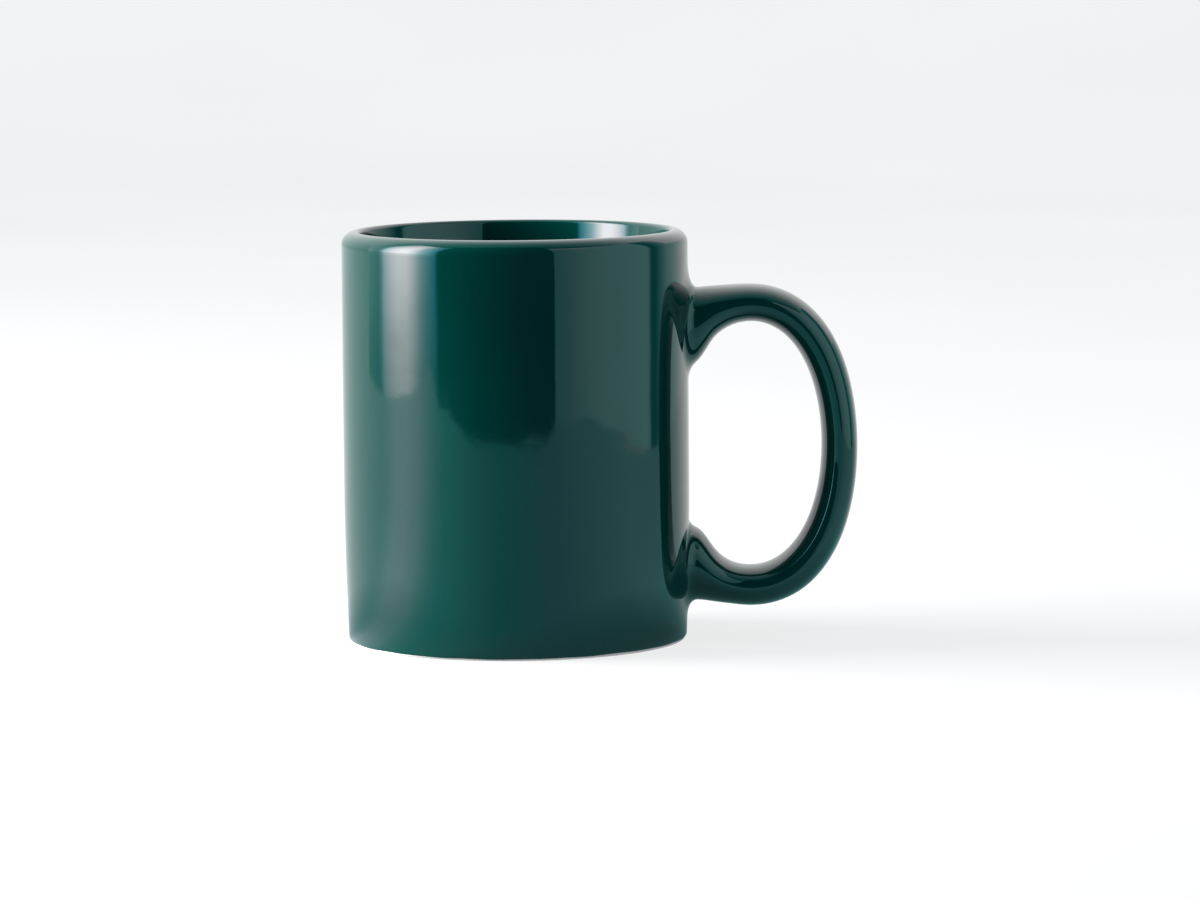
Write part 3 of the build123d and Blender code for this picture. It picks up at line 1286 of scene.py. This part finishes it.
@dataclass
class HandleCore:
    """Clay of the handle, and the slip that joins it to the wall. The glaze hides all of it."""

    handle: HandleShape
    clay: bpy.types.Material
    slip: bpy.types.Material
    slip_layer: float = 0.5

    def build(self) -> None:
        """Make the clay handle and both joints."""
        glaze = self.handle.cup.glaze
        start = self.slip_layer - glaze
        rings = self.handle.span_rings(start, glaze)
        ends = tuple(self.cap_middle(ring, start) for ring in (rings[0], rings[-1]))
        dress(make_tube("grip_clay", rings, ends), self.clay, "clay_handle")
        for root, clay_end in ((Root.UPPER, rings[0]), (Root.LOWER, rings[-1])):
            outside = self.handle.root_rings(root, glaze)
            joint = outside + [clay_end]
            middles = (self.cap_middle(outside[0], -glaze), self.cap_middle(clay_end, start))
            if root is Root.LOWER:
                joint, middles = joint[::-1], middles[::-1]
            piece = make_tube(f"{root.value}_slip", joint, middles)
            dress(piece, self.slip, f"{root.value}_slip_joint")

    def cap_middle(self, ring: Array, out: float) -> Array:
        """Middle of the cap that closes a ring on the wall."""
        return self.handle.on_wall(ring.mean(axis=0, keepdims=True), out)[0]


# ---------------------------------------------------------------- studio and camera


@dataclass(frozen=True)
class Card:
    """An upright card that stands on the floor near the mug and shows only in its gloss."""

    name: str
    corners: Line
    top: float
    glow: Glow

    def build(self) -> None:
        """Make the card from its corners on the floor up to its top."""
        count = len(self.corners)
        points = [(x, y, z) for z in (0.0, self.top) for x, y in self.corners]
        faces = [(i, i + 1, count + i + 1, count + i) for i in range(count - 1)]
        make_card(self.name, points, faces, self.glow.material())


def make_card(name: str, points: list, faces: list[Face], material: bpy.types.Material) -> None:
    """Make a stage object that only glossy surfaces see.

    Args:
        name: Name of the card.
        points: Its corners, in metres.
        faces: Its faces.
        material: Its light.
    """
    mesh = bpy.data.meshes.new(name)
    mesh.from_pydata(points, [], faces)
    mesh.materials.append(material)
    card = bpy.data.objects.new(name, mesh)
    bpy.context.scene.collection.objects.link(card)
    card.visible_camera = False
    card.visible_diffuse = False
    card.visible_shadow = False


@dataclass
class Studio:
    """Pale cove, cards for the glaze to mirror, and one large soft lamp on the left.

    Sizes are in metres and bearings in degrees. A line is the run of a card's foot along the floor.
    The table card's corners are table_low, near on the left, and table_high, far on the right.
    """

    cove_radius: float = 2.6
    cove_corner: float = 0.7
    cove_height: float = 2.4
    cove_columns: int = 96
    sky: float = 0.5
    sky_colour: Colour = (0.9, 0.97, 1.12)
    key_power: float = 48.0
    key_size: float = 0.7
    key_distance: float = 1.0
    key_bearing: float = -96.0
    key_height: float = 0.42
    black: Glow = Glow("card_black", [(-60, (0.0, 0.0, 0.0)), (40, (0.001, 0.001, 0.001))])
    window: Glow = Glow(
        "card_window",
        [
            (-111, (0.74, 0.86, 0.92)),
            (-105, (0.56, 0.7, 0.79)),
            (-99.5, (0.46, 0.6, 0.7)),
            (-96.5, (1.2, 1.6, 1.9)),
            (-94, (3.0, 3.5, 3.9)),
            (-87, (6.3, 5.9, 6.2)),
            (-81, (8.3, 7.6, 8.0)),
            (-74, (8.6, 8.2, 8.5)),
            (-71, (7.4, 7.0, 7.4)),
            (-68, (5.7, 5.8, 6.2)),
            (-65, (3.4, 4.3, 4.8)),
            (-62, (2.0, 3.2, 3.6)),
            (-56, (0.6, 1.9, 2.4)),
            (-53, (0.3, 1.3, 1.8)),
            (-51, (0.02, 0.1, 0.15)),
        ],
        rise=[
            (0, 0.45),
            (0.005, 0.55),
            (0.018, 0.72),
            (0.032, 1.0),
            (0.05, 1.3),
            (0.13, 2.2),
            (0.35, 2.1),
            (0.9, 0.8),
        ],
    )
    side: Glow = Glow(
        "card_side",
        [
            (25, (0.24, 0.82, 0.85)),
            (34, (0.43, 0.9, 0.95)),
            (48, (0.65, 1.3, 1.27)),
            (62, (0.76, 1.5, 1.47)),
            (92, (0.68, 1.43, 1.41)),
            (95.5, (0.55, 1.3, 1.3)),
            (98.5, (0.04, 0.27, 0.28)),
            (103, (0.02, 0.25, 0.25)),
            (107, (0.1, 0.5, 0.5)),
            (117, (0.44, 0.88, 0.84)),
            (129, (0.62, 0.92, 0.9)),
            (146, (0.95, 0.98, 0.98)),
        ],
    )
    table: Glow = Glow(
        "card_table",
        [
            (-150, (0.98, 1.0, 1.02)),
            (-116, (0.95, 1.02, 1.05)),
            (-98, (0.9, 1.0, 1.1)),
            (-92, (1.1, 1.25, 1.35)),
            (-84, (1.75, 1.8, 2.1)),
            (-75, (1.95, 2.05, 2.2)),
            (-65, (1.5, 1.8, 2.0)),
            (-59, (0.93, 1.5, 1.5)),
            (-53, (0.54, 1.25, 1.25)),
            (-46, (0.27, 1.1, 1.0)),
            (-11, (0.12, 0.72, 0.70)),
            (24, (0.24, 0.66, 0.75)),
            (53, (0.37, 0.92, 0.95)),
            (76, (0.43, 1.04, 1.05)),
            (100, (0.28, 0.79, 0.80)),
            (112, (0.4, 0.68, 0.66)),
            (127, (0.57, 0.78, 0.77)),
            (142, (0.86, 0.9, 0.9)),
        ],
        reach=[(0.04, 0.95), (0.07, 1.0), (0.1, 1.0)],
        shades=(
            Shade((0.045, -0.008, 0), 0.006, 0.075, 0.75),
            Shade((-0.066, -0.004, 0), 0.01, 0.07, 0.52),
        ),
    )
    window_line: Line = ((-0.65, 0.25), (-0.65, -0.40), (-0.49, -0.41))
    front_line: Line = (
        (-0.49, -0.41),
        (-0.44, -0.45),
        (-0.27, -0.46),
        (-0.1, -0.505),
        (0.08, -0.51),
        (0.17, -0.485),
        (0.25, -0.53),
    )
    side_line: Line = (
        (0.25, -0.53),
        (0.434, -0.388),
        (0.474, -0.098),
        (0.467, 0.02),
        (0.45, 0.25),
    )
    back_line: Line = ((0.45, 0.25), (0.35, 0.8))
    table_low: tuple[float, float] = (-1.8, -0.56)
    table_high: tuple[float, float] = (0.46, 1.8)
    table_z: float = 0.0003
    card_height: float = 0.9
    side_height: float = 0.5
    back_height: float = 0.2

    def build(self) -> None:
        """Set up the cove, the cards, the lamp and the sky."""
        self.build_cove()
        Card("card_window", self.window_line, self.card_height, self.window).build()
        Card("card_front", self.front_line, self.card_height, self.black).build()
        Card("card_side", self.side_line, self.side_height, self.side).build()
        Card("card_back", self.back_line, self.back_height, self.side).build()
        (left, near), (right, far) = self.table_low, self.table_high
        ends = ((left, near), (right, near), (right, far), (left, far))
        corners = [(x, y, self.table_z) for x, y in ends]
        make_card("card_table", corners, [(0, 1, 2, 3)], self.table.material())
        ends = ((-1, -1), (1, -1), (1, 1), (-1, 1))
        corners = [(x * self.cove_radius, y * self.cove_radius, self.cove_height) for x, y in ends]
        make_card("card_ceiling", corners, [(0, 1, 2, 3)], CeilingGlow().material())
        self.build_key()
        world = bpy.data.worlds.new("studio_sky")
        world.use_nodes = True
        background = world.node_tree.nodes["Background"]
        background.inputs["Color"].default_value = (*self.sky_colour, 1)
        background.inputs["Strength"].default_value = self.sky
        bpy.context.scene.world = world

    def build_cove(self) -> None:
        """Make the floor, which curves up into a wall all round."""
        flat_x = np.linspace(0, self.cove_radius - self.cove_corner, 8)
        flat = np.stack([flat_x, np.zeros_like(flat_x)], axis=1)
        bend_centre = (self.cove_radius - self.cove_corner, self.cove_corner)
        bend = arc(bend_centre, self.cove_corner, -90, 0, 14)[1:]
        outline = np.vstack([flat, bend, [self.cove_radius, self.cove_height]])
        columns = self.cove_columns
        angles = np.arange(columns) * 2 * math.pi / columns
        radius, height = outline[1:, 0, None], outline[1:, 1, None]
        grid = np.stack([radius * np.cos(angles), radius * np.sin(angles), height + 0 * angles], axis=-1)
        points = np.vstack([grid.reshape(-1, 3), [0, 0, 0]])
        first_ring = list(range(columns))[::-1]
        faces = grid_faces(len(outline) - 1, columns) + fan_faces(first_ring, len(points) - 1)
        mesh = bpy.data.meshes.new("cove")
        mesh.from_pydata(points, [], [face[::-1] for face in faces])
        mesh.shade_smooth()
        mesh.materials.append(FloorFinish().material())
        cove = bpy.data.objects.new("cove", mesh)
        bpy.context.scene.collection.objects.link(cove)
        cove.visible_diffuse = False

    def build_key(self) -> None:
        """Set up the soft lamp on the left, which the gloss doesn't show."""
        light = bpy.data.lights.new("key", "AREA")
        light.shape = "SQUARE"
        light.size = self.key_size
        light.energy = self.key_power
        key = bpy.data.objects.new("key", light)
        bpy.context.scene.collection.objects.link(key)
        bearing = math.radians(self.key_bearing)
        key.location = (
            self.key_distance * math.sin(bearing),
            -self.key_distance * math.cos(bearing),
            self.key_height,
        )
        aim = Vector((0, 0, 0.05)) - key.location
        key.rotation_euler = aim.to_track_quat("-Z", "Y").to_euler()
        key.visible_glossy = False
        key.visible_camera = False


@dataclass(frozen=True)
class Viewpoint:
    """The camera, in front of the mug and a little higher than its lip, looking slightly down.

    Distance and height are in metres, lens in millimetres, and turn, dip and roll in degrees.
    """

    distance: float = 1.2867
    height: float = 0.1795
    lens: float = 167.5
    turn: float = 0.862
    dip: float = 6.026
    roll: float = -0.455

    def build(self) -> None:
        """Set up the camera."""
        camera = bpy.data.objects.new("camera", bpy.data.cameras.new("camera"))
        bpy.context.scene.collection.objects.link(camera)
        camera.data.lens = self.lens
        camera.data.sensor_width = 36.0
        camera.data.clip_end = 20.0
        turn = Matrix.Rotation(math.radians(-self.turn), 4, "Z")
        dip = Matrix.Rotation(math.radians(90 - self.dip), 4, "X")
        roll = Matrix.Rotation(math.radians(self.roll), 4, "Z")
        camera.matrix_world = Matrix.Translation((0, -self.distance, self.height)) @ turn @ dip @ roll
        bpy.context.scene.camera = camera


def main() -> None:
    """Build the mug and the studio round it."""
    logging.basicConfig(level=logging.INFO, format="%(name)s: %(message)s")
    bpy.context.scene.view_settings.view_transform = "Standard"
    cup = CupShape.from_frame()
    handle = HandleShape.from_frame(cup)
    ripple = Ripple()
    green = GlazeFinish("green_glaze", lip=cup.height).material()
    liner = GlazeFinish("liner_glaze", lip=cup.height).material()
    clay = ClayFinish("bare_clay").material()
    slip = ClayFinish("slip", (0.74, 0.70, 0.62), (0.60, 0.55, 0.47)).material()
    Cup(cup, clay, liner, green, ripple).build()
    OutsideCoat(cup, handle, green, ripple).build()
    HandleCore(handle, clay, slip).build()
    Studio().build()
    Viewpoint().build()


if __name__ == "__main__":
    main()
